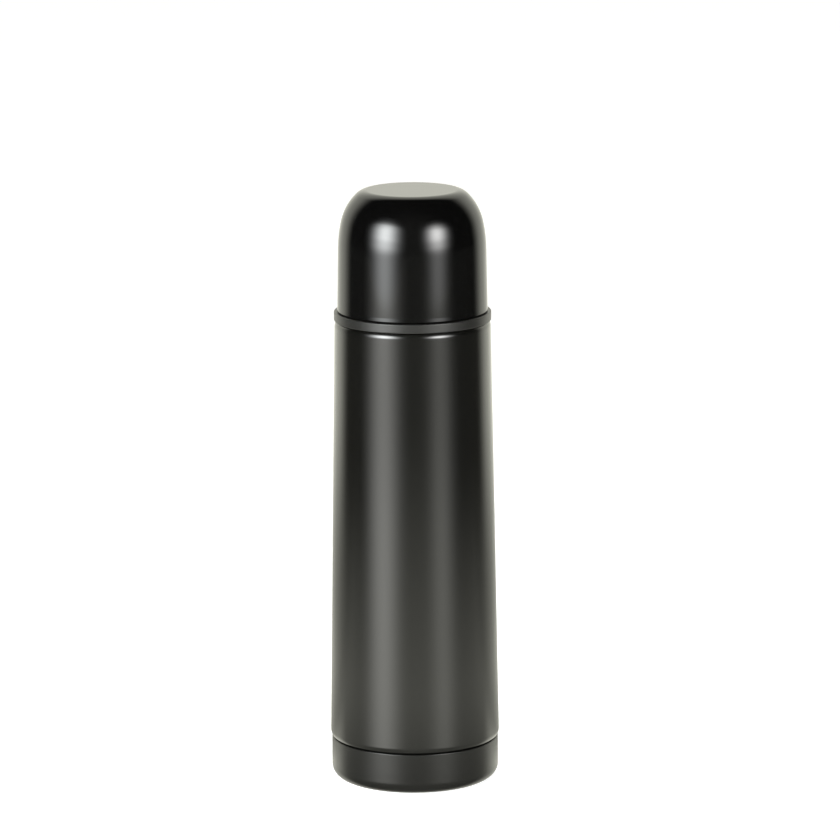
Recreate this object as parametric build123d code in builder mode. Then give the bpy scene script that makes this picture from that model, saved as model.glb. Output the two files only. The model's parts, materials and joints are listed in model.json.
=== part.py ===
from build123d import *
import os
from math import asin, degrees, radians, sin, sqrt, tan

# Vacuum flask: a double-walled steel vessel with a screw-on drinking cup and, under the cup,
# a push-button pouring stopper.
#
# Millimetres. +Z is up, the axis of the flask is the Z axis and z = 0 is the surface it stands on.
# Most pieces are turned about the axis, so their outlines are lists of (radius, height) points.
# The release slide of the stopper points to -Y.

# ---------------------------------------------------------------- driving dimensions
steel = 0.5                 # sheet of both vessel walls
moulding = 1.2              # common wall of the stopper's mouldings
inset = 0.3                 # depth to which a thread ridge is rooted in its wall

# outer shell and base cap
shoulder_z = 192.9
shoulder_r = 31.88
shoulder_bend = 3.8
neck_bend = 0.8
belly_z = 18.93              # height of the corner that the wall's lowest bend rounds
belly_r = 34.78
belly_bend = 4.4
seam_z = 17.95
seam_r = 34.34
seam_gap = 0.8
seam_turn = 0.65            # depth to which the shell's wall is turned in at the seam
seam_bend = 0.6
base_r = 34.35
base_belly_z = 9.0          # height at which the base cap is widest
base_bend = 5.0
base_edge = 0.35
base_wall = 0.65
base_floor = 1.4
base_recess = 0.9           # depth of the hollow under the base
base_ring_r = 27.2          # inner radius of the ring that the flask stands on
shell_foot_z = 6.7          # lower edge of the shell inside the base cap

# neck and mouth
mouth_z = 206.0
neck_r = 22.8               # bore of the mouth
throat_r = 20.6             # narrowest bore, under the seat of the stopper's seal
throat_z = 191.9
outer_neck_r = 24.8
vessel_top_z = 181.0        # where the inner vessel's shoulder meets its wall
vessel_top_r = 29.35
vessel_low_z = 20.0         # weld between the vessel's wall and its bottom
vessel_low_r = 31.5
vessel_floor_z = 12.6

# collar
collar_r = 32.1
collar_foot_z = 191.65      # lower edge, which hangs over the bend of the shoulder
collar_top_z = 195.4
collar_foot_bend = 0.9
collar_top_bend = 0.5
collar_slack = 0.03         # room between the collar and the shoulder
sleeve_r = 26.6
sleeve_top_z = 205.4

# cup
cup_bottom_z = 195.75
cup_top_z = 245.2
cup_foot_r = 30.7
cup_draft = 1.04            # degrees
dome_z = 221.4              # height where the straight wall ends
haunch_r = 55.8             # gentle bend above the straight wall
haunch_angle = 11.3         # degrees
dome_r = 22.1               # tighter bend above the haunch
crown_bend = 6.6            # rounding between the dome and its flat top
cup_ceiling = 1.4           # thickness of the cup's flat top
cup_wall = 1.1
liner_side = 1.95           # how far the liner's outside lies within the cup's outside
liner_top = 3.6
liner_wall = 0.85
liner_skirt_r = 28.0
liner_step_z = 206.0
foam_gap = 0.25

# threads, right-hand: the cup's has two starts, the stopper's one
cup_lead = 9.0
cup_starts = 2
cup_thread_z = 198.6
cup_thread_turns = 0.55
stopper_lead = 4.6
stopper_thread_z = 197.6
ridge_root = 2.2
ridge_crest = 1.0
ridge_height = 1.1

# stopper
head_r = 24.0
head_z = 206.4
deck_z = 213.2
deck = 1.8
head_bend = 1.5
head_floor_z = 207.4
cavity_r = 22.0
skirt_r = 21.2
skirt_wall = 2.6
skirt_foot_z = 193.8
spider_z = 195.2
spider_top_z = 196.8
spider_r = 8.6
hub_r = 3.6
hub_top_z = 200.0
flutes = 36
flute_r = 0.7
window_width = 12.0
window_height = 2.6
window_z = 209.4

plug_r = 20.2
plug_foot_z = 186.6
gasket_z = 192.2
gasket_seat_r = 18.9
spigot_r = 18.5
port_r = 7.5

# button, valve and release
button_r = 12.3
button_top_z = 215.0
button_flange_r = 13.4
button_flange_z = 205.6
button_travel = 3.5
guide_r = 12.6
guide_wall = 1.3
guide_foot_z = 207.0
stem_r = 2.2
stem_slip = 0.25
valve_r = 9.8
valve_z = 184.0
valve_disc = 1.4
washer_r = 9.4
washer_top_z = 186.5
slide_z = 208.3
slide_thickness = 1.6
slide_r = 20.2
slide_width = 7.0
slide_reach = 24.7
slide_travel = 1.4
slide_gap = 0.4
latch_width = 6.0
latch_gap = 0.15


# ---------------------------------------------------------------- helpers
def turn(outline, mode=Mode.ADD):
    """Turn a closed outline about the axis into the part being built."""
    with BuildSketch(Plane.XZ) as section:
        with BuildLine():
            Polyline(*outline, close=True)
        make_face()
    revolve(section.sketch, axis=Axis.Z, mode=mode)


def turn_sheet(outline, bends, side):
    """Turn a sheet of the steel's thickness, bent along an open outline."""
    with BuildSketch(Plane.XZ) as section:
        with BuildLine():
            FilletPolyline(*outline, radius=bends)
            offset(amount=steel, side=side)
        make_face()
    revolve(section.sketch, axis=Axis.Z)


def cup_r(z):
    """Outer radius of the cup's wall at height z."""
    return cup_foot_r - (z - cup_bottom_z) * tan(radians(cup_draft))


def vessel_r(z):
    """Outer radius of the inner vessel's wall at height z."""
    slope = (vessel_low_r - vessel_top_r) / (vessel_top_z - vessel_low_z)
    return vessel_top_r + slope * (vessel_top_z - z) + steel


def dome(side, top, floor, mode=Mode.ADD):
    """Turn the cup's outline, drawn in by side and top, from the height floor upwards."""
    ceiling = cup_top_z - top
    with BuildSketch(Plane.XZ) as section:
        with BuildLine():
            wall = Polyline((0, floor), (cup_r(floor) - side, floor), (cup_r(dome_z) - side, dome_z))
            haunch = JernArc(wall @ 1, wall % 1, haunch_r - side, haunch_angle)
            start = cup_draft + haunch_angle
            centre_z = (haunch @ 1).Y - (dome_r - side) * sin(radians(start))
            end = degrees(asin((ceiling - centre_z) / (dome_r - side)))
            bend = JernArc(haunch @ 1, haunch % 1, dome_r - side, end - start)
            Polyline(bend @ 1, (0, ceiling), (0, floor))
        make_face()
        crown = section.vertices().group_by(Axis.Y)[-1].sort_by(Axis.X)[-1]
        fillet(crown, crown_bend - side)
    revolve(section.sketch, axis=Axis.Z, mode=mode)


def thread_ridge(wall_r, outward, lead, low, turns, angle):
    """One right-hand ridge of trapezoid section on a wall, outward 1 for male and -1 for female."""
    root_r = wall_r - outward * inset
    crest_r = wall_r + outward * ridge_height
    with BuildPart() as ridge:
        with BuildLine(Plane.XY.offset(low)):
            Helix(lead, lead * turns, root_r)
        with BuildSketch(Plane.XZ):
            with BuildLine():
                Polyline((root_r, low - ridge_root / 2), (crest_r, low - ridge_crest / 2),
                         (crest_r, low + ridge_crest / 2), (root_r, low + ridge_root / 2), close=True)
            make_face()
        sweep(is_frenet=True)
    return ridge.part.rotate(Axis.Z, angle)


def coil(mean_r, wire_r, length, turns):
    """A compression spring of round wire, standing on z = 0 along +Z."""
    with BuildPart() as spring:
        with BuildLine(Plane.XY.offset(wire_r)) as path:
            rise = length - 2 * wire_r
            Helix(rise / turns, rise, mean_r)
        with BuildSketch(Plane(origin=path.line @ 0, z_dir=path.line % 0)):
            Circle(wire_r)
        sweep(is_frenet=True)
    ends = spring.part.bounding_box()
    return spring.part.moved(Location((0, 0, -ends.min.Z)))


def rim(piece, z):
    """A piece's widest circular edge at height z."""
    circles = piece.edges().filter_by(GeomType.CIRCLE)
    return circles.filter_by_position(Axis.Z, z - 0.01, z + 0.01).sort_by(SortBy.RADIUS)[-1]


cup_ridge = thread_ridge(sleeve_r, 1, cup_lead, cup_thread_z, cup_thread_turns, 0)
liner_ridge = thread_ridge(liner_skirt_r, -1, cup_lead, cup_thread_z, cup_thread_turns, 90)
stopper_ridge = thread_ridge(skirt_r, 1, stopper_lead, stopper_thread_z, 1.5, 0)
neck_ridge = thread_ridge(neck_r, -1, stopper_lead, stopper_thread_z, 1.25, 180)

# ---------------------------------------------------------------- vessel, all welded steel
# outer shell: neck tube, shoulder, tapered wall and a rebate for the base cap
rebate_r = base_r - base_wall
with BuildPart() as outer_shell:
    turn_sheet([(outer_neck_r, mouth_z - steel), (outer_neck_r, shoulder_z),
                (shoulder_r, shoulder_z), (belly_r, belly_z), (seam_r, seam_z),
                (rebate_r, seam_z - seam_turn), (rebate_r, shell_foot_z)],
               [neck_bend, shoulder_bend, belly_bend, seam_bend, seam_bend], Side.RIGHT)

# outer bottom: a dish welded inside the shell's lower edge, with the pumping hole in its middle
hole_r = 1.2
dish_r = rebate_r - steel
dish_z = 8.6
dish_bend = 1.5
well_z = 7.2
well_r = 7.6                # the well slopes from its own radius out to the dish by as much as it is deep
well_bend = 0.8
with BuildPart() as outer_bottom:
    turn_sheet([(dish_r, shell_foot_z), (dish_r, dish_z), (well_r + dish_z - well_z, dish_z),
                (well_r, well_z), (hole_r, well_z)], [dish_bend, well_bend, well_bend], Side.LEFT)

# vacuum seal: the bead that closes the pumping hole
bead_r = 2.8
with BuildPart() as vacuum_seal:
    under = well_z - steel
    turn([(0, under - 0.8), (bead_r - 0.6, under - 0.8), (bead_r, under - 0.4), (bead_r, under),
          (hole_r, under), (hole_r, well_z + 0.2), (0, well_z + 0.2)])

# getter: a small ring can that keeps the vacuum, spot-welded to the dish
getter_x = 17
getter_r = 4
getter_height = 1.6
with BuildPart() as getter:
    with BuildSketch(Plane.XY.offset(dish_z)):
        with Locations((getter_x, 0)):
            Circle(getter_r)
            Circle(getter_r / 2, mode=Mode.SUBTRACT)
    extrude(amount=getter_height)

# inner vessel: lip, threaded neck, cone seat for the seal, throat, shoulder and wall
lip_bend = 0.6
cone_bend = 0.8
throat_bend = 0.5
throat_foot_bend = 1.2
vessel_shoulder_bend = 7
cone_height = 2.9
throat_height = 2.1
with BuildPart() as inner_vessel:
    turn_sheet([(outer_neck_r, mouth_z), (neck_r, mouth_z), (neck_r, throat_z + cone_height),
                (throat_r, throat_z), (throat_r, throat_z - throat_height),
                (vessel_top_r, vessel_top_z), (vessel_low_r, vessel_low_z)],
               [lip_bend, cone_bend, throat_bend, throat_foot_bend, vessel_shoulder_bend], Side.LEFT)
    add(neck_ridge)

# inner bottom: the vessel's pressed floor, raised in its middle
raised_r = 16
raised_by = 0.8
raised_slope = 4
floor_bend = 6
with BuildPart() as inner_bottom:
    turn_sheet([(vessel_low_r, vessel_low_z), (vessel_low_r, vessel_floor_z),
                (raised_r + raised_slope, vessel_floor_z), (raised_r, vessel_floor_z + raised_by),
                (0, vessel_floor_z + raised_by)], [floor_bend, raised_slope, raised_slope], Side.LEFT)

# radiation foil: a bright sleeve wrapped round the inner vessel
foil_gap = 0.05
foil = 0.15
foil_low_z = 26
foil_high_z = 174
foil_low_r = vessel_r(foil_low_z) + foil_gap
foil_high_r = vessel_r(foil_high_z) + foil_gap
with BuildPart() as radiation_foil:
    turn([(foil_low_r, foil_low_z), (foil_low_r + foil, foil_low_z),
          (foil_high_r + foil, foil_high_z), (foil_high_r, foil_high_z)])

# base cap: a shallow cup glued over the rebate, hollow underneath
with BuildPart() as base_cap:
    cap_floor_z = base_recess + base_floor
    cap_rim_z = seam_z - seam_gap
    turn([(rebate_r, cap_rim_z - 0.6), (rebate_r + 0.15, cap_rim_z), (seam_r - 0.05, cap_rim_z),
          (base_r, base_belly_z), (base_r, 0),
          (base_ring_r, 0), (base_ring_r - base_recess, base_recess), (0, base_recess),
          (0, cap_floor_z), (rebate_r, cap_floor_z)])
    fillet(rim(base_cap, 0), base_bend)
    fillet(rim(base_cap, cap_floor_z), base_bend - base_wall)
    fillet(rim(base_cap, cap_rim_z), base_edge)

# neck collar: the ring between body and cup, with the sleeve that carries the cup's thread
with BuildPart() as neck_collar:
    seat_r = shoulder_bend + collar_slack
    seat_drop = shoulder_z + collar_slack - collar_foot_z
    seat_angle = degrees(asin((seat_r - seat_drop) / seat_r))
    with BuildSketch(Plane.XZ):
        with BuildLine():
            seat = CenterArc((shoulder_r - shoulder_bend, shoulder_z - shoulder_bend), seat_r,
                             seat_angle, 90 - seat_angle)
            Polyline(seat @ 1, (outer_neck_r + neck_bend, shoulder_z + collar_slack),
                     (outer_neck_r, shoulder_z + neck_bend + collar_slack), (outer_neck_r, sleeve_top_z),
                     (sleeve_r, sleeve_top_z), (sleeve_r, collar_top_z), (collar_r, collar_top_z),
                     (collar_r, collar_foot_z), seat @ 0)
        make_face()
    revolve(axis=Axis.Z)
    fillet(rim(neck_collar, collar_foot_z), collar_foot_bend)
    fillet(rim(neck_collar, collar_top_z), collar_top_bend)
    with PolarLocations(0, cup_starts):
        add(cup_ridge)

# ---------------------------------------------------------------- drinking cup
with BuildPart() as cup_shell:
    dome(0, 0, cup_bottom_z)
    dome(cup_wall, cup_ceiling, cup_bottom_z, Mode.SUBTRACT)
    fillet(rim(cup_shell, cup_bottom_z), 0.45)

liner_in = liner_side + liner_wall
liner_knee_z = liner_step_z + 1
with BuildPart() as cup_liner:
    dome(liner_side, liner_top, liner_knee_z)
    dome(liner_in, liner_top + liner_wall, liner_knee_z, Mode.SUBTRACT)
    turn([(liner_skirt_r, cup_bottom_z), (cup_r(cup_bottom_z) - cup_wall, cup_bottom_z),
          (cup_r(liner_step_z) - cup_wall, liner_step_z), (cup_r(liner_knee_z) - liner_side, liner_knee_z),
          (cup_r(liner_knee_z) - liner_in, liner_knee_z), (liner_skirt_r, liner_step_z)])
    with PolarLocations(0, cup_starts):
        add(liner_ridge)

# cup foam: the insulating disc between the two ceilings
with BuildPart() as cup_foam:
    foam_low = cup_top_z - liner_top + foam_gap
    foam_high = cup_top_z - cup_ceiling - foam_gap
    turn([(0, foam_low), (16.6, foam_low), (17, foam_low + 0.4), (17, foam_high), (0, foam_high)])

# ---------------------------------------------------------------- pouring stopper
guide_out = guide_r + guide_wall
deck_under = deck_z - deck
with BuildPart() as stopper_housing:
    bore_r = skirt_r - skirt_wall
    turn([(guide_r, deck_z), (head_r, deck_z), (head_r, head_z), (skirt_r, head_z),
          (skirt_r, skirt_foot_z), (bore_r, skirt_foot_z), (bore_r, spider_z), (spider_r, spider_z),
          (spider_r, spider_top_z), (bore_r, spider_top_z), (bore_r, head_floor_z),
          (cavity_r, head_floor_z), (cavity_r, deck_under), (guide_out, deck_under),
          (guide_out, guide_foot_z), (guide_r, guide_foot_z)])
    fillet(rim(stopper_housing, deck_z), head_bend)
    # hub that guides the valve's stem, on four spokes
    turn([(stem_r + stem_slip, spider_z - 1.4), (hub_r, spider_z - 1.4), (hub_r, hub_top_z),
          (stem_r + stem_slip, hub_top_z)])
    with BuildSketch(Plane.XY.offset(spider_z)):
        with PolarLocations((spider_r + hub_r) / 2, 4):
            Rectangle(spider_r - hub_r + 1, 1.6)
    extrude(amount=spider_top_z - spider_z)
    # finger flutes round the head, left out beside the release slide
    with BuildSketch(Plane.XY.offset(head_z)):
        with PolarLocations(head_r + 0.35, flutes - 3, start_angle=-70, angular_range=320):
            Circle(flute_r)
    extrude(amount=deck_z - head_z - head_bend - 0.6, mode=Mode.SUBTRACT)
    # pouring windows on both sides
    with BuildSketch(Plane.YZ.offset(-head_r - 1)):
        with Locations((0, window_z)):
            SlotOverall(window_width, window_height)
    extrude(amount=head_r + 1 - guide_out - 1, mode=Mode.SUBTRACT)
    with BuildSketch(Plane.YZ.offset(guide_out + 1)):
        with Locations((0, window_z)):
            SlotOverall(window_width, window_height)
    extrude(amount=head_r - guide_out, mode=Mode.SUBTRACT)
    # slot in the wall for the release slide's tab and one in the guide for its latch
    with BuildSketch(Plane.XZ.offset(cavity_r - 1)):
        with Locations((0, slide_z + slide_thickness / 2)):
            Rectangle(slide_width + 0.6, slide_thickness + 0.5)
    extrude(amount=head_r - cavity_r + 3, mode=Mode.SUBTRACT)
    with BuildSketch(Plane.XZ.offset(-guide_out - 1)):
        with Locations((0, slide_z + slide_thickness / 2)):
            Rectangle(latch_width + 0.6, slide_thickness + 0.5)
    extrude(amount=guide_wall + 2, mode=Mode.SUBTRACT)
    add(stopper_ridge)

# stopper base: the insulated plug under the housing, with the pouring port through it
plug_wall = moulding
with BuildPart() as stopper_base:
    turn([(port_r, plug_foot_z), (plug_r - 0.8, plug_foot_z), (plug_r, plug_foot_z + 0.8),
          (plug_r, gasket_z), (gasket_seat_r, gasket_z), (gasket_seat_r, skirt_foot_z),
          (spigot_r, skirt_foot_z), (spigot_r, spider_z), (spigot_r - 1, spider_z),
          (spigot_r - 1, gasket_z - 0.4), (plug_r - plug_wall, gasket_z - 1.6),
          (plug_r - plug_wall, plug_foot_z + plug_wall), (port_r + 1, plug_foot_z + plug_wall),
          (port_r + 1, spider_z), (port_r, spider_z)])

# neck seal: the ring that closes on the vessel's cone seat
with BuildPart() as neck_seal:
    turn([(gasket_seat_r, gasket_z), (20.7, gasket_z), (21.3, gasket_z + 0.8),
          (21.3, skirt_foot_z), (gasket_seat_r, skirt_foot_z)])

# stopper foam: the insulating ring inside the plug
with BuildPart() as stopper_foam:
    foam_in = port_r + 1 + foam_gap
    foam_foot = plug_foot_z + plug_wall + foam_gap
    turn([(foam_in, foam_foot), (plug_r - plug_wall - foam_gap, foam_foot),
          (plug_r - plug_wall - foam_gap, gasket_z - 1.9), (spigot_r - 1 - foam_gap, gasket_z - 0.7),
          (spigot_r - 1 - foam_gap, spider_z - foam_gap), (foam_in, spider_z - foam_gap)])

# ---------------------------------------------------------------- button and valve
boss_top_z = button_top_z - 1.4
with BuildPart() as push_button:
    inner_r = button_r - moulding
    turn([(0, boss_top_z), (0, button_top_z - 0.5), (8, button_top_z), (button_r, button_top_z),
          (button_r, button_flange_z + 1.2), (button_flange_r, button_flange_z + 1.2),
          (button_flange_r, button_flange_z), (inner_r, button_flange_z), (inner_r, boss_top_z)])
    fillet(rim(push_button, button_top_z), 0.8)
    # boss that takes the valve's stem
    turn([(stem_r, boss_top_z), (stem_r + 1.2, boss_top_z), (stem_r + 1.2, boss_top_z - 7),
          (stem_r, boss_top_z - 7)])
    # groove where the latch holds the pressed button
    turn([(button_r - 0.6, slide_z + button_travel - 0.1), (button_r + 1, slide_z + button_travel - 0.1),
          (button_r + 1, slide_z + button_travel + slide_thickness + 0.1),
          (button_r - 0.6, slide_z + button_travel + slide_thickness + 0.1)], Mode.SUBTRACT)

with BuildPart() as valve_stem:
    disc_top = valve_z + valve_disc
    turn([(0, valve_z), (valve_r - 0.5, valve_z), (valve_r, valve_z + 0.5), (valve_r, disc_top),
          (stem_r, disc_top), (stem_r, boss_top_z), (0, boss_top_z)])

with BuildPart() as valve_seal:
    turn([(stem_r, disc_top), (washer_r, disc_top), (washer_r, washer_top_z - 0.3),
          (washer_r - 0.3, washer_top_z), (stem_r, washer_top_z)])

spring_wire = 0.45
button_spring_part = coil(4.6, spring_wire, boss_top_z - spider_top_z, 6)
with BuildPart() as button_spring:
    with Locations((0, 0, spider_top_z)):
        add(button_spring_part)

# ---------------------------------------------------------------- release slide
latch_spring_r = 1.1
latch_wire = 0.2
latch_bridge = 2.2
with BuildPart() as release_slide:
    ring_in = guide_out + slide_gap
    with BuildSketch(Plane.XY.offset(slide_z)):
        Circle(slide_r)
        # opening for the guide, longer towards the tab by the slide's travel
        with Locations((0, -slide_travel / 2)):
            SlotCenterToCenter(slide_travel, 2 * ring_in, rotation=90, mode=Mode.SUBTRACT)
        with Locations((0, -(slide_r + slide_reach) / 2 + 1)):
            Rectangle(slide_width, slide_reach - slide_r + 2)
        # latch nose, just clear of the button
        nose = button_r + latch_gap
        with Locations((0, (nose + ring_in + 1) / 2)):
            Rectangle(latch_width, ring_in + 1 - nose)
        # pocket for the return spring
        with Locations((0, ring_in + latch_bridge + 5)):
            Rectangle(4 * latch_spring_r, 10, mode=Mode.SUBTRACT)
    extrude(amount=slide_thickness)

latch_spring_low = ring_in + latch_bridge
latch_spring_part = coil(latch_spring_r, latch_wire, cavity_r - latch_spring_low, 6)
with BuildPart() as latch_spring:
    with Locations(Location((0, latch_spring_low, slide_z + slide_thickness / 2), (-90, 0, 0))):
        add(latch_spring_part)

# ---------------------------------------------------------------- write the pieces
pieces = {
    "outer_shell": outer_shell, "outer_bottom": outer_bottom, "vacuum_seal": vacuum_seal,
    "getter": getter, "inner_vessel": inner_vessel, "inner_bottom": inner_bottom,
    "radiation_foil": radiation_foil, "base_cap": base_cap, "neck_collar": neck_collar,
    "cup_shell": cup_shell, "cup_liner": cup_liner, "cup_foam": cup_foam,
    "stopper_housing": stopper_housing, "stopper_base": stopper_base, "neck_seal": neck_seal,
    "stopper_foam": stopper_foam, "push_button": push_button, "valve_stem": valve_stem,
    "valve_seal": valve_seal, "button_spring": button_spring, "release_slide": release_slide,
    "latch_spring": latch_spring,
}
os.makedirs("parts", exist_ok=True)
for label, piece in pieces.items():
    piece.part.label = label
    export_step(piece.part, f"parts/{label}.step")
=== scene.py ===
"""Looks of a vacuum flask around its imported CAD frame: finer pieces, materials, light and camera.

Blender works in metres; outlines of pieces are written in millimetres, as the CAD source has them.
"""
import json
import math

import bpy
from mathutils import Matrix, Vector


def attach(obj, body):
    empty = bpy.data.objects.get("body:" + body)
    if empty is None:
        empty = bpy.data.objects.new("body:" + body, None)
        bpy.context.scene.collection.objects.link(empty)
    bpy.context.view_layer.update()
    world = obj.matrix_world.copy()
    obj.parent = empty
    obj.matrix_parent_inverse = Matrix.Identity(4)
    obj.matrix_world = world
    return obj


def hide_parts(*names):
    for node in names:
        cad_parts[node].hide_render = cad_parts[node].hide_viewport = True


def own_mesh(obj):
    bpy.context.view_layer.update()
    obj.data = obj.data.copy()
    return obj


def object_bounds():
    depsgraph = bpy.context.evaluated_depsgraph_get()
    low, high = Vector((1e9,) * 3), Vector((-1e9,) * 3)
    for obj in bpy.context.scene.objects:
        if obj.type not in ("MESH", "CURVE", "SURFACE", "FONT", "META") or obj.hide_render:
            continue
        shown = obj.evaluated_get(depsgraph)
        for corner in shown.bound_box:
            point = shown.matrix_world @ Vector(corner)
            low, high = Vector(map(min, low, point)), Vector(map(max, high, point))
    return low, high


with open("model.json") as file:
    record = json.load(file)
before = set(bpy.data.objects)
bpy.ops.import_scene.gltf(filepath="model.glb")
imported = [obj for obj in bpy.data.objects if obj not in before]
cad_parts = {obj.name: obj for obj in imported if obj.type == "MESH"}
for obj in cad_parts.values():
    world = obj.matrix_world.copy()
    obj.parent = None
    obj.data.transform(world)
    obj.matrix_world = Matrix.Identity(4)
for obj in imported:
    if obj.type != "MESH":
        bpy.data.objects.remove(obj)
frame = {"nodes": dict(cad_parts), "record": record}

cad_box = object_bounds()
nodes = frame["nodes"]
bodies = frame["record"]["behaviour"]["bodies"]
body_of_node = {name: body for body, members in bodies.items() for name in members}
slot_of = {part["node"]: part["material_slot"] for part in frame["record"]["subparts"]}
MM = 0.001


# ---------------------------------------------------------------- outline of the turned pieces, mm
steel = 0.5
shoulder_z, shoulder_r, shoulder_bend = 192.9, 31.88, 3.8
outer_neck_r, neck_bend = 24.8, 0.8
mouth_z = 206.0
belly_z, belly_r, belly_bend = 18.93, 34.78, 4.4
seam_z, seam_r, seam_gap, seam_turn, seam_bend = 17.95, 34.34, 0.8, 0.65, 0.6
base_r, base_belly_z, base_bend, base_wall = 34.35, 9.0, 5.0, 0.65
base_recess, base_floor, base_ring_r, ring_bend = 0.9, 1.4, 27.2, 0.5
base_lip_r, base_lip_bend, base_belly_bend = 34.29, 0.35, 30
base_step_r, base_step_down = 33.85, 0.6
shell_foot_z = 6.7
rebate_r = base_r - base_wall

collar_r, collar_foot_z, collar_top_z = 32.1, 191.65, 195.4
sleeve_r, sleeve_top_z = 26.6, 205.4
seat_z, seat_corner_r, seat_foot_r, seat_bend = 192.93, 29.80, 30.94, 3.83

cup_bottom_z, cup_top_z, cup_foot_r = 195.75, 245.2, 30.7
cup_draft = math.radians(1.04)
flare, flare_height, flare_bend = 0.06, 1.6, 10
dome_z, haunch_r, dome_r, crown_bend = 221.4, 55.8, 22.1, 6.6
haunch_end = math.radians(12.34)
cup_wall, cup_ceiling = 1.1, 1.4
liner_side, liner_wall, liner_top = 1.95, 0.85, 3.6
liner_skirt_r, liner_step_z, liner_step_height, liner_gap = 28.0, 206.0, 1.0, 0.02
cup_lead, cup_thread_z, cup_thread_turns = 9.0, 198.6, 0.55

moulded_edge = 0.1       # bend of edges that look sharp, mm
sheet_edge = 0.12        # bend of a sheet's cut edges, mm

spring_r, spring_wire, spring_turns = 4.6, 0.45, 6
spring_low, spring_high, spring_keep = 196.8, 213.6, 0.792
latch_r, latch_wire, latch_turns = 1.1, 0.2, 6
latch_low, latch_high, latch_z, latch_keep = 16.5, 22.0, 209.1, 0.745

around = 144             # faces round a turned piece
longest = 7.0            # longest face along an outline, mm
same_place = 1e-4        # points nearer than this are one point, mm
tiny = 1e-6              # smaller angles and radii count as none


# ---------------------------------------------------------------- mesh code
def rounded(corners, closed=False, step=math.radians(8)):
    """Points (r, z, normal r, normal z) of an outline of (r, z, bend) corners, its outside on the right."""
    count = len(corners)
    flat = [Vector(c[:2]) for c in corners]
    points = []
    for i, (r, z, bend) in enumerate(corners):
        here = flat[i]
        into = here - flat[i - 1] if closed or i else flat[1] - here
        away = flat[(i + 1) % count] - here if closed or i < count - 1 else into
        into, away = into.normalized(), away.normalized()
        turn = math.atan2(into.x * away.y - into.y * away.x, into.dot(away))
        if abs(turn) < tiny or not bend:
            points.append((r, z, into.y, -into.x))
            continue
        start = here - into * bend * math.tan(abs(turn) / 2)
        side = math.copysign(1, turn)
        centre = start + Vector((-into.y, into.x)) * side * bend
        pieces = max(2, math.ceil(abs(turn) / step))
        for k in range(pieces + 1):
            heading = Matrix.Rotation(turn * k / pieces, 2) @ into
            normal = Vector((heading.y, -heading.x))
            at = centre + normal * side * bend
            points.append((at.x, at.y, normal.x, normal.y))
    return points


def sheet(corners, thickness, edge=sheet_edge):
    """The closed outline of a sheet, from the (r, z, bend) corners of its outside."""
    flat = [Vector(c[:2]) for c in corners]
    inner = []
    last = len(corners) - 1
    for i, (r, z, bend) in enumerate(corners):
        into = (flat[i] - flat[i - 1] if i else flat[1] - flat[0]).normalized()
        away = (flat[i + 1] - flat[i] if i < last else into).normalized()
        turn = into.x * away.y - into.y * away.x
        before, after = Vector((-into.y, into.x)), Vector((-away.y, away.x))
        at = flat[i] + (before + after) / (1 + before.dot(after)) * thickness
        round_by = max(edge, bend - math.copysign(thickness, turn)) if 0 < i < last else edge
        inner.append((at.x, at.y, round_by))
    outer = [(*corners[0][:2], edge), *corners[1:last], (*corners[last][:2], edge)]
    return rounded(outer + inner[::-1], closed=True)


def cup_r(z):
    return cup_foot_r - (z - cup_bottom_z) * math.tan(cup_draft)


def dome_line(side, top, step=math.radians(3)):
    """The cup's outline from the end of its straight wall to the axis, drawn in by side and top."""
    def ray(angle):
        return Vector((math.cos(angle), math.sin(angle)))
    haunch_centre = Vector((cup_r(dome_z), dome_z)) - ray(cup_draft) * haunch_r
    dome_centre = haunch_centre + ray(haunch_end) * (haunch_r - dome_r)
    ceiling = cup_top_z - top
    crown = crown_bend - side
    rise = ceiling - crown - dome_centre.y
    crown_start = math.asin(rise / (dome_r - crown_bend))
    crown_centre = dome_centre + ray(crown_start) * (dome_r - crown_bend)
    points = []
    arcs = [(haunch_centre, haunch_r - side, cup_draft, haunch_end),
            (dome_centre, dome_r - side, haunch_end, crown_start),
            (crown_centre, crown, crown_start, math.pi / 2)]
    for centre, radius, start, end in arcs:
        pieces = math.ceil((end - start) / step)
        for k in range(0 if not points else 1, pieces + 1):
            normal = ray(start + (end - start) * k / pieces)
            points.append((*(centre + normal * radius), *normal))
    return points + [(0, ceiling, 0, 1)]


def inside(points):
    """The same outline run the other way, with its outside on the other side."""
    return [(r, z, -nr, -nz) for r, z, nr, nz in reversed(points)]


def filled(points, closed):
    """Adds points along long stretches, so that no face is longer than `longest`."""
    result = []
    pairs = zip(points, points[1:] + points[:1]) if closed else zip(points, points[1:])
    for a, b in pairs:
        result.append(a)
        pieces = math.ceil(math.dist(a[:2], b[:2]) / longest)
        for k in range(1, pieces):
            result.append(tuple(p + (q - p) * k / pieces for p, q in zip(a, b)))
    return result if closed else result + [points[-1]]


def turned(points, closed=False):
    """Vertices, faces and normals of an outline turned about the axis, in metres."""
    apart = [p for i, p in enumerate(points) if math.dist(p[:2], points[i - 1][:2]) > same_place]
    verts, normals, rings, faces = [], [], [], []
    for r, z, nr, nz in filled(apart, closed):
        off_axis = r > tiny
        length = math.hypot(nr, nz)
        ring = []
        for k in range(around if off_axis else 1):
            a = 2 * math.pi * k / around
            ring.append(len(verts))
            verts.append((r * math.cos(a) * MM, r * math.sin(a) * MM, z * MM))
            if off_axis:
                normals.append((nr * math.cos(a) / length, nr * math.sin(a) / length, nz / length))
            else:
                normals.append((0, 0, math.copysign(1, nz)))
        rings.append(ring)
    following = rings[1:] + rings[:1] if closed else rings[1:]
    for low, high in zip(rings, following):
        for k in range(around):
            j = (k + 1) % around
            if len(low) == 1:
                faces.append((low[0], high[j], high[k]))
            elif len(high) == 1:
                faces.append((low[k], low[j], high[0]))
            else:
                faces.append((low[k], low[j], high[j], high[k]))
    return verts, faces, normals


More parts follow.
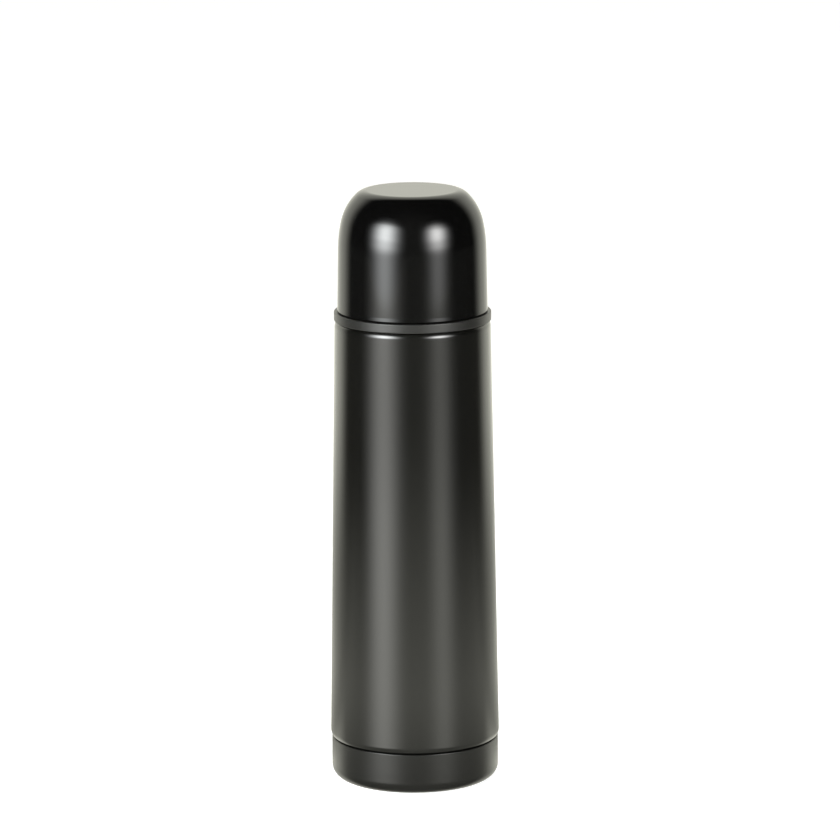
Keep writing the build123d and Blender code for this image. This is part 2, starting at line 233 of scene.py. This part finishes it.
def swept_faces(steps, size):
    """Faces along a path of sections with `size` points each, and over the path's two ends."""
    faces = []
    for k in range(steps):
        for j in range(size):
            a, b = k * size + j, k * size + (j + 1) % size
            faces.append((a, a + size, b + size, b))
    return faces + [tuple(range(size)), tuple(reversed(range(steps * size, (steps + 1) * size)))]


def thread(wall_r, outward, angle, per_turn=96, runout=14):
    """One right-hand ridge on a wall, fading at both ends; outward is 1 on the outside, -1 inside."""
    height, root, crest, sink = 1.1, 2.2, 1.0, 0.3
    least, end_width, end_depth = 0.02, 0.4, 0.15
    edge, slope, at_wall = 0.2, 0.3, 0.94
    steps = round(cup_thread_turns * per_turn)
    verts = []
    for k in range(steps + 1):
        a = angle + 2 * math.pi * cup_thread_turns * k / steps
        z = cup_thread_z + cup_lead * cup_thread_turns * k / steps
        fade = least + (1 - least) * math.sin(min(1, k / runout, (steps - k) / runout) * math.pi / 2)
        half_root, half_crest = root / 2 * (end_width + (1 - end_width) * fade), crest / 2
        top = wall_r + outward * (height * fade - end_depth * (1 - fade))
        bevel = edge * fade
        upper = [(top, half_crest - bevel), (top - outward * bevel, half_crest + bevel * slope),
                 (wall_r, half_root * at_wall), (wall_r - outward * sink, half_root)]
        section = [(r, -dz) for r, dz in reversed(upper)] + upper
        for r, dz in section:
            verts.append((r * math.cos(a) * MM, r * math.sin(a) * MM, (z + dz) * MM))
    faces = swept_faces(steps, len(section))
    if outward < 0:
        faces = [face[::-1] for face in faces]
    return verts, faces, [None] * len(verts)


def two_threads(wall_r, outward, angle):
    """Both starts of the cup's thread, the first one from that angle."""
    return [thread(wall_r, outward, angle + start) for start in (0, math.pi)]


def coil(mean_r, wire_r, low, high, turns, sides=10, per_turn=36):
    """A spring of round wire along +Z, in millimetres, as one closed part."""
    steps = turns * per_turn
    verts = []
    for k in range(steps + 1):
        share = k / steps
        a = 2 * math.pi * turns * share
        z = low + wire_r + (high - low - 2 * wire_r) * share
        out = Vector((math.cos(a), math.sin(a), 0))
        for j in range(sides):
            b = 2 * math.pi * j / sides
            at = out * (mean_r + wire_r * math.cos(b)) + Vector((0, 0, z + wire_r * math.sin(b)))
            verts.append(tuple(at * MM))
    return verts, swept_faces(steps, sides), [None] * len(verts)


def piece(name, node, *parts, material=None):
    """A mesh object of several closed parts, which stands for a CAD node and rides on its body.

    A vertex without a normal gets the smooth one of its faces.
    """
    verts, faces, normals = [], [], []
    for part_verts, part_faces, part_normals in parts:
        faces += [tuple(i + len(verts) for i in face) for face in part_faces]
        verts += part_verts
        normals += part_normals
    mesh = bpy.data.meshes.new(name)
    mesh.from_pydata(verts, [], faces)
    mesh.validate()
    mesh.shade_smooth()
    mesh.normals_split_custom_set_from_vertices([normal or (0, 0, 0) for normal in normals])
    made = bpy.data.objects.new(name, mesh)
    bpy.context.scene.collection.objects.link(made)
    mesh.materials.append(material or looks[slot_of[node]])
    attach(made, body_of_node[node])
    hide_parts(node)
    return made


# ---------------------------------------------------------------- materials
middle = (0.3, 0.7)      # most of a noise's values lie between these


def new_material(name, **sockets):
    """A Principled material; keyword names are its sockets with _ for a space."""
    material = bpy.data.materials.new(name)
    material.use_nodes = True
    shader = material.node_tree.nodes["Principled BSDF"]
    for socket, value in sockets.items():
        shader.inputs[socket.replace("_", " ")].default_value = value
    return material


def add(material, kind, **settings):
    """A node of that kind; settings name its inputs, or else its attributes."""
    node = material.node_tree.nodes.new(kind)
    for key, value in settings.items():
        label = key.replace("_", " ")
        if label in node.inputs:
            node.inputs[label].default_value = value
        else:
            setattr(node, key, value)
    return node


def link(material, source, target):
    material.node_tree.links.new(source, target)


def shader_of(material):
    return material.node_tree.nodes["Principled BSDF"]


def placed(material, stretch=(1, 1, 1)):
    """The object's own coordinates in metres, stretched."""
    place = add(material, "ShaderNodeTexCoord")
    mapping = add(material, "ShaderNodeMapping")
    mapping.inputs["Scale"].default_value = stretch
    link(material, place.outputs["Object"], mapping.inputs["Vector"])
    return mapping.outputs["Vector"]


def grain(material, scale, detail=2.0, stretch=(1, 1, 1)):
    """Noise over the object's own coordinates."""
    noise = add(material, "ShaderNodeTexNoise", Scale=scale, Detail=detail)
    link(material, placed(material, stretch), noise.inputs["Vector"])
    return noise.outputs[0]


def cells(material, scale):
    """Distances in a Voronoi pattern over the object's own coordinates."""
    pattern = add(material, "ShaderNodeTexVoronoi", Scale=scale)
    link(material, placed(material), pattern.inputs["Vector"])
    return pattern.outputs["Distance"]


def ranged(material, source, start, end, low, high, interpolation="SMOOTHSTEP"):
    """Maps start..end of a value to low..high, and keeps to low and high outside it."""
    node = add(material, "ShaderNodeMapRange", interpolation_type=interpolation,
               From_Min=start, From_Max=end, To_Min=low, To_Max=high)
    link(material, source, node.inputs["Value"])
    return node.outputs["Result"]


def maths(material, operation, *values):
    """The result of a Math node; each value is a socket or a number."""
    node = add(material, "ShaderNodeMath", operation=operation)
    for socket, value in zip(node.inputs, values):
        if isinstance(value, (int, float)):
            socket.default_value = value
        else:
            link(material, value, socket)
    return node.outputs[0]


def spread(material, source, low, high, target):
    """Maps a factor to low..high on a shader socket."""
    level = ranged(material, source, *middle, low, high, "LINEAR")
    link(material, level, shader_of(material).inputs[target])


def tint(material, source, dark, light):
    """Maps a factor to a colour between dark and light on the base colour."""
    ramp = add(material, "ShaderNodeValToRGB")
    for element, position, colour in zip(ramp.color_ramp.elements, middle, (dark, light)):
        element.position = position
        element.color = (*colour, 1)
    link(material, source, ramp.inputs["Fac"])
    link(material, ramp.outputs["Color"], shader_of(material).inputs["Base Color"])


def bump(material, source, height, strength=1.0, target="Normal"):
    """Bump of that height in millimetres."""
    node = add(material, "ShaderNodeBump", Strength=strength, Distance=height * MM)
    link(material, source, node.inputs["Height"])
    link(material, node.outputs["Normal"], shader_of(material).inputs[target])


def paint(name, coat, coat_roughness, roughness):
    """Charcoal with fine flakes under a satin clear coat with a faint orange peel."""
    material = new_material(name, Roughness=roughness, Specular_IOR_Level=0.06,
                            Coat_Weight=coat, Coat_Roughness=coat_roughness, Coat_IOR=1.6,
                            Coat_Tint=(1, 1, 0.97, 1))
    tint(material, grain(material, 2600, 1.0), (0.0008, 0.0008, 0.00065), (0.0029, 0.0029, 0.0024))
    bump(material, grain(material, 700, 2.0), 0.004, 0.5, "Coat Normal")
    return material


def cup_gloss():
    """Piano black with the faintest handling marks."""
    material = new_material("piano_black", Base_Color=(0.0015, 0.0015, 0.0015, 1), Roughness=0.055,
                            Specular_IOR_Level=0.5)
    spread(material, grain(material, 35, 4.0, (1, 1, 0.3)), 0.05, 0.065, "Roughness")
    return material


def collar_grey():
    """Fine matt moulding."""
    material = new_material("collar_grey", Roughness=0.35, Specular_IOR_Level=0.63)
    tint(material, grain(material, 1800, 2.0), (0.0080, 0.0080, 0.0073), (0.0108, 0.0108, 0.0098))
    bump(material, grain(material, 3000, 2.0), 0.01, 0.5)
    return material


def brushed(name, dark, light, low, high):
    """Steel with fine marks round the axis."""
    material = new_material(name, Metallic=1.0, Roughness=low)
    marks = grain(material, 40, 3.0, (1, 1, 60))
    tint(material, marks, dark, light)
    spread(material, marks, low, high, "Roughness")
    bump(material, marks, 0.006, 0.35)
    return material


def cast(name, dark, light, rough, metal, size, height, spread_by=0.04):
    """A grained casting: dull metal, or moulded plastic."""
    material = new_material(name, Metallic=metal, Roughness=rough)
    source = grain(material, size, 3.0)
    tint(material, source, dark, light)
    spread(material, source, rough - spread_by, rough + spread_by, "Roughness")
    bump(material, source, height, 0.6)
    return material


def crinkled():
    """Bright foil with small dents."""
    material = new_material("foil", Metallic=1.0, Roughness=0.2)
    tint(material, grain(material, 90, 3.0), (0.74, 0.74, 0.73), (0.84, 0.84, 0.83))
    bump(material, cells(material, 160), 0.15, 0.7)
    return material


def foam_cells():
    """Expanded foam with fine closed cells."""
    material = new_material("foam", Roughness=0.9)
    tint(material, cells(material, 700), (0.70, 0.70, 0.67), (0.86, 0.86, 0.83))
    bump(material, cells(material, 700), 0.25, 0.8)
    return material


def soft():
    """Silicone that lets a little light through."""
    material = new_material("silicone", Roughness=0.42, Transmission_Weight=0.15, IOR=1.41)
    tint(material, grain(material, 500, 2.0), (0.36, 0.36, 0.34), (0.42, 0.42, 0.40))
    bump(material, grain(material, 1200, 2.0), 0.01, 0.4)
    return material


def wire():
    """Bright drawn spring wire."""
    material = new_material("spring_wire", Metallic=1.0, Roughness=0.22)
    drawn = grain(material, 1500, 2.0)
    tint(material, drawn, (0.50, 0.50, 0.48), (0.64, 0.64, 0.61))
    spread(material, drawn, 0.18, 0.30, "Roughness")
    return material


looks = {
    "body_paint": paint("charcoal_metallic", 1.0, 0.085, 0.4),
    "cup_gloss": cup_gloss(),
    "collar_grey": collar_grey(),
    "vessel_steel": brushed("vessel_steel", (0.56, 0.55, 0.53), (0.66, 0.65, 0.63), 0.16, 0.30),
    "weld_steel": brushed("weld_steel", (0.44, 0.43, 0.41), (0.54, 0.53, 0.51), 0.26, 0.40),
    "solder": cast("solder", (0.36, 0.36, 0.34), (0.48, 0.48, 0.45), 0.45, 1.0, 900, 0.05),
    "foil": crinkled(),
    "getter_metal": cast("getter_metal", (0.07, 0.07, 0.065), (0.15, 0.14, 0.13), 0.62, 0.6, 1600, 0.05),
    "liner_plastic": cast("liner_plastic", (0.007, 0.007, 0.007), (0.012, 0.012, 0.012),
                          0.28, 0.0, 900, 0.002),
    "foam": foam_cells(),
    "stopper_plastic": cast("stopper_plastic", (0.006, 0.006, 0.006), (0.011, 0.011, 0.011),
                            0.38, 0.0, 1400, 0.006),
    "base_plastic": cast("base_plastic", (0.016, 0.016, 0.016), (0.026, 0.026, 0.026),
                         0.45, 0.0, 1400, 0.006),
    "button_plastic": cast("button_plastic", (0.028, 0.028, 0.027), (0.038, 0.038, 0.037),
                           0.28, 0.0, 900, 0.003),
    "slide_plastic": cast("slide_plastic", (0.070, 0.070, 0.068), (0.090, 0.090, 0.088),
                          0.40, 0.0, 1400, 0.006),
    "silicone": soft(),
    "spring_steel": wire(),
}
for name, node in nodes.items():
    for place in node.material_slots:
        place.material = looks[slot_of[name]]


# ---------------------------------------------------------------- pieces
def outer_shell():
    outline = sheet([
        (rebate_r, shell_foot_z, 0), (rebate_r, seam_z - seam_turn, seam_bend), (seam_r, seam_z, seam_bend),
        (belly_r, belly_z, belly_bend), (shoulder_r, shoulder_z, shoulder_bend),
        (outer_neck_r, shoulder_z, neck_bend), (outer_neck_r, mouth_z - steel, 0)], steel)
    piece("outer_shell", "outer_shell", turned(outline, closed=True))


def base():
    lip_z, floor_z = seam_z - seam_gap, base_recess + base_floor
    outline = rounded([
        (0, base_recess, 0), (base_ring_r - base_recess, base_recess, ring_bend),
        (base_ring_r, 0, ring_bend), (base_r, 0, base_bend), (base_r, base_belly_z, base_belly_bend),
        (base_lip_r, lip_z, base_lip_bend), (base_step_r, lip_z, moulded_edge),
        (rebate_r, lip_z - base_step_down, moulded_edge), (rebate_r, floor_z, base_bend - base_wall),
        (0, floor_z, 0)])
    piece("base", "base_cap", turned(outline), material=paint("charcoal_base", 0.76, 0.27, 0.5))


def collar():
    foot_bend, top_bend, sleeve_root, sleeve_bend, mouth_bend = 0.45, 0.4, 0.3, 0.4, 0.2
    chamfer = 0.8
    outline = rounded([
        (seat_foot_r, collar_foot_z, 0), (collar_r, collar_foot_z, foot_bend),
        (collar_r, collar_top_z, top_bend), (sleeve_r, collar_top_z, sleeve_root),
        (sleeve_r, sleeve_top_z, sleeve_bend), (outer_neck_r, sleeve_top_z, mouth_bend),
        (outer_neck_r, seat_z + chamfer, moulded_edge), (outer_neck_r + chamfer, seat_z, moulded_edge),
        (seat_corner_r, seat_z, seat_bend)], closed=True)
    piece("collar", "neck_collar", turned(outline, closed=True), *two_threads(sleeve_r, 1, 0))


def domed(outer_dome, inner_dome, foot_corners):
    """A dome with a foot: up the inside's outline, round the foot's corners and up the outside."""
    foot = rounded([(*inner_dome[0][:2], 0), *foot_corners, (*outer_dome[0][:2], 0)])
    return turned(inside(inner_dome)[:-1] + foot[:-1] + outer_dome)


def cup():
    inner_bend, outer_bend = 0.25, 0.3
    flare_z = cup_bottom_z + flare_height
    shell = domed(dome_line(0, 0), dome_line(cup_wall, cup_ceiling), [
        (cup_foot_r - cup_wall, cup_bottom_z, inner_bend), (cup_foot_r + flare, cup_bottom_z, outer_bend),
        (cup_r(flare_z), flare_z, flare_bend)])
    piece("cup", "cup_shell", shell)


def cup_lining():
    step_bend, skirt_bend, back_bend = 0.5, 0.3, 0.2
    inner_side = liner_side + liner_wall
    knee_z = liner_step_z + liner_step_height
    skirt_side = cup_wall + liner_gap
    dome = dome_line(liner_side, liner_top)
    ceiling = dome_line(inner_side, liner_top + liner_wall)
    lining = domed(dome, ceiling, [
        (cup_r(knee_z) - inner_side, knee_z, step_bend), (liner_skirt_r, liner_step_z, step_bend),
        (liner_skirt_r, cup_bottom_z, skirt_bend),
        (cup_r(cup_bottom_z) - skirt_side, cup_bottom_z, back_bend),
        (cup_r(liner_step_z) - skirt_side, liner_step_z, back_bend),
        (cup_r(knee_z) - liner_side, knee_z, back_bend)])
    piece("cup_lining", "cup_liner", lining, *two_threads(liner_skirt_r, -1, math.pi / 2))


def button_coil():
    wound = coil(spring_r, spring_wire, spring_low, spring_high, spring_turns)
    made = piece("button_coil", "button_spring", wound)
    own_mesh(made)


def latch_coil():
    """Wound along +Z about the axis, then laid along +Y at the slide's height."""
    wound, faces, normals = coil(latch_r, latch_wire, latch_low, latch_high, latch_turns,
                                 sides=8, per_turn=24)
    laid = [(x, z, -y + latch_z * MM) for x, y, z in wound]
    made = piece("latch_coil", "latch_spring", (laid, faces, normals))
    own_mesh(made)


outer_shell()
base()
collar()
cup()
cup_lining()
button_coil()
latch_coil()


# ---------------------------------------------------------------- studio
floor_low = cad_box[0].z
floor_reach, glow_reach, under_paper = 8, 3, 0.5 * MM
backdrop = (1, 1, 0.88)          # colour of the paper and the walls in reflections


def stage_mesh(name, corners, material):
    """A four-cornered face of the studio, which the flask's own files leave out."""
    mesh = bpy.data.meshes.new(name)
    mesh.from_pydata(corners, [], [tuple(range(len(corners)))])
    mesh.uv_layers.new(name="UVMap")
    for loop, uv in zip(mesh.uv_layers[0].data, ((0, 0), (1, 0), (1, 1), (0, 1))):
        loop.uv = uv
    mesh.materials.append(material)
    made = bpy.data.objects.new(name, mesh)
    bpy.context.scene.collection.objects.link(made)
    return made


def bare(owner):
    """A material or world with its nodes cleared."""
    owner.use_nodes = True
    owner.node_tree.nodes.clear()
    return owner


def surface(owner, shader, kind="ShaderNodeOutputMaterial"):
    """Makes that shader the one seen on a material, or in a world."""
    link(owner, shader, add(owner, kind).inputs["Surface"])


def glow(material, colour, strength):
    """Two shaders: light given off alone, and the same light over what is seen through it."""
    emission = add(material, "ShaderNodeEmission", Color=(*colour, 1))
    link(material, strength, emission.inputs["Strength"])
    clear = add(material, "ShaderNodeBsdfTransparent")
    both = add(material, "ShaderNodeAddShader")
    link(material, emission.outputs[0], both.inputs[0])
    link(material, clear.outputs[0], both.inputs[1])
    return emission.outputs[0], both.outputs[0]


def mixed(owner, share, first, second):
    """A mix of two shaders, with that share of the second."""
    mix = add(owner, "ShaderNodeMixShader")
    link(owner, share, mix.inputs["Fac"])
    link(owner, first, mix.inputs[1])
    link(owner, second, mix.inputs[2])
    return mix.outputs[0]


def panel(name, azimuth, narrow, colour, steps, distance=1.2, half_width=0.9):
    """A soft light facing the flask.

    Azimuth is in degrees from -Y, positive towards +X, and a larger narrow makes a narrower light. Steps
    are pairs of height in metres and strength, with even changes between them.
    """
    low, high = steps[0][0], steps[-1][0]
    peak = max(strength for _, strength in steps)
    material = bare(bpy.data.materials.new(name))
    split = add(material, "ShaderNodeSeparateXYZ")
    link(material, add(material, "ShaderNodeTexCoord").outputs["UV"], split.inputs[0])

    across = maths(material, "MULTIPLY_ADD", split.outputs["X"], 2, -1)
    squared = maths(material, "MULTIPLY", across, across)
    bell = maths(material, "EXPONENT", maths(material, "MULTIPLY", squared, -narrow))

    ramp = add(material, "ShaderNodeValToRGB")
    elements = ramp.color_ramp.elements
    for i, (z, strength) in enumerate(steps):
        at = (z - low) / (high - low)
        element = elements[0] if i == 0 else elements[-1] if i == len(steps) - 1 else elements.new(at)
        element.position = at
        element.color = (strength / peak, strength / peak, strength / peak, 1)
    link(material, split.outputs["Y"], ramp.inputs["Fac"])

    shaped = maths(material, "MULTIPLY", bell, ramp.outputs["Color"])
    _, seen_through = glow(material, colour, maths(material, "MULTIPLY", shaped, peak))
    surface(material, seen_through)

    a = math.radians(azimuth)
    out = Vector((math.sin(a), -math.cos(a), 0)) * distance
    side = Vector((math.cos(a), math.sin(a), 0)) * half_width
    foot, head = Vector((0, 0, low)), Vector((0, 0, high))
    corners = [out - side + foot, out + side + foot, out + side + head, out - side + head]
    made = stage_mesh(name, corners, material)
    made.visible_camera = False
    made.visible_shadow = False


def square(reach, z):
    """Corners of a level square about the axis."""
    return [(-reach, -reach, z), (reach, -reach, z), (reach, reach, z), (-reach, reach, z)]


def floor():
    """Plain white paper, lit by the panels and by itself, which reflections don't see."""
    material = new_material("paper", Base_Color=(0.8, 0.8, 0.8, 1), Roughness=1.0, Specular_IOR_Level=0,
                            Emission_Strength=0.785, Emission_Color=(1, 1, 1, 1))
    made = stage_mesh("floor", square(floor_reach, floor_low), material)
    made.visible_glossy = False
    made.visible_shadow = False


def floor_glow():
    """What the floor adds to reflections, as painted light: painted shade dim at the flask's foot, a
    painted pool of light bright near it, and dim again far off.

    Behind the flask, in its shadow, the floor hides the bright wall that is seen past it elsewhere.
    """
    material = bare(bpy.data.materials.new("floor_glow"))

    def away(widthwise):
        """Distance from the axis, with X counted widthwise times."""
        length = add(material, "ShaderNodeVectorMath", operation="LENGTH")
        link(material, placed(material, (widthwise, 1, 1)), length.inputs[0])
        return length.outputs["Value"]

    split = add(material, "ShaderNodeSeparateXYZ")
    link(material, placed(material), split.inputs[0])
    back = split.outputs["Y"]
    round_axis = away(1)
    # painted contact shadow: the glow is dim right at the flask's foot
    strength = ranged(material, away(0.75), 0.029, 0.036, 0.15, 1.0)
    # painted pool of light round the flask, dimmer close to it and fading far off; painted shadow of the
    # flask behind it
    for share in (ranged(material, round_axis, 0.03, 0.24, 0.42, 1.0),
                  ranged(material, away(1.3), 0.0, 1.0, 0.97, 0.05),
                  ranged(material, back, 0.0, 0.1, 1.0, 0.75)):
        strength = maths(material, "MULTIPLY", strength, share)
    alone, seen_through = glow(material, backdrop, strength)
    solid = maths(material, "MULTIPLY", ranged(material, back, 0.0, 0.07, 0.0, 0.9),
                  ranged(material, round_axis, 0.3, 0.9, 1.0, 0.0))
    surface(material, mixed(material, solid, seen_through, alone))

    made = stage_mesh("floor_glow", square(glow_reach, floor_low - under_paper), material)
    made.visible_camera = False
    made.visible_diffuse = False
    made.visible_shadow = False
    made.visible_transmission = False


def studio_world():
    """White behind the flask and dark in front of it in reflections; plain white to the camera."""
    world = bare(bpy.data.worlds.new("studio"))
    bpy.context.scene.world = world
    split = add(world, "ShaderNodeSeparateXYZ")
    link(world, add(world, "ShaderNodeTexCoord").outputs["Generated"], split.inputs[0])
    behind = ranged(world, split.outputs["Y"], 0.29, 0.69, 0.02, 1.17)
    in_front = ranged(world, split.outputs["Y"], -1.0, -0.4, 0.085, 0.0)
    room = add(world, "ShaderNodeBackground", Color=(*backdrop, 1))
    link(world, maths(world, "ADD", behind, in_front), room.inputs["Strength"])
    white = add(world, "ShaderNodeBackground", Strength=1.0, Color=(1, 1, 1, 1))
    to_camera = add(world, "ShaderNodeLightPath").outputs["Is Camera Ray"]
    surface(world, mixed(world, to_camera, room.outputs[0], white.outputs[0]), "ShaderNodeOutputWorld")


def camera():
    """A long lens a little above the flask, aimed above its middle."""
    elevation, roll = math.radians(12.55), math.radians(-0.33)
    distance, lens = 2.131, 222.6
    middle_z, aim_right, aim_up = 0.1225, 0.0028, 0.0266
    target = Vector((0, 0, middle_z))
    back = Vector((0, -math.cos(elevation), math.sin(elevation)))
    up = Vector((0, math.sin(elevation), math.cos(elevation)))
    eye = target + back * distance
    seen = target + Vector((aim_right, 0, 0)) + up * aim_up
    data = bpy.data.cameras.new("camera")
    data.sensor_width = 36
    data.lens = lens
    data.clip_end = 50
    made = bpy.data.objects.new("camera", data)
    bpy.context.scene.collection.objects.link(made)
    look = (seen - eye).to_track_quat("-Z", "Y").to_matrix().to_4x4()
    made.matrix_world = Matrix.Translation(eye) @ look @ Matrix.Rotation(roll, 4, "Z")
    bpy.context.scene.camera = made


horizon = 0.0275                 # height where a light ends and the stand-in for its pool begins, m
panel("light_left", -43.3, 6.3, (0.97, 1, 1), [
    (horizon, 5.2), (0.05, 5.2), (0.12, 5.9), (0.18, 9), (0.25, 13.5), (0.33, 15.2), (0.4, 19.6),
    (0.56, 19.5), (0.68, 16.7), (0.79, 12.4), (0.89, 5), (1.0, 1.5), (1.12, 0.45), (1.3, 0.1)])
panel("light_right", 39.7, 9.4, (1, 1, 0.99), [
    (horizon, 2.1), (0.05, 2.2), (0.12, 2.5), (0.18, 4), (0.25, 8), (0.33, 10.5), (0.4, 15.5),
    (0.47, 17), (0.59, 14.5), (0.69, 8.8), (0.79, 4.9), (0.89, 1.7), (1.0, 0.36), (1.15, 0.05)])

# the lights' pools on the floor, as reflections see them
panel("pool_left", -43.3, 4.2, (1, 1, 0.95), [
    (-0.45, 1.5), (-0.25, 2.0), (-0.12, 2.75), (-0.04, 2.4), (0.01, 2.3), (0.021, 2.8), (horizon, 5)])
panel("pool_right", 39.7, 6.5, (1, 1, 0.93), [
    (-0.45, 0.7), (-0.25, 0.85), (-0.12, 1.2), (-0.04, 1.0), (0.01, 0.85), (0.021, 1.2), (horizon, 2.1)])

floor()
floor_glow()
studio_world()
camera()
bpy.context.scene.view_settings.view_transform = "Standard"
bpy.context.scene.view_settings.look = "None"
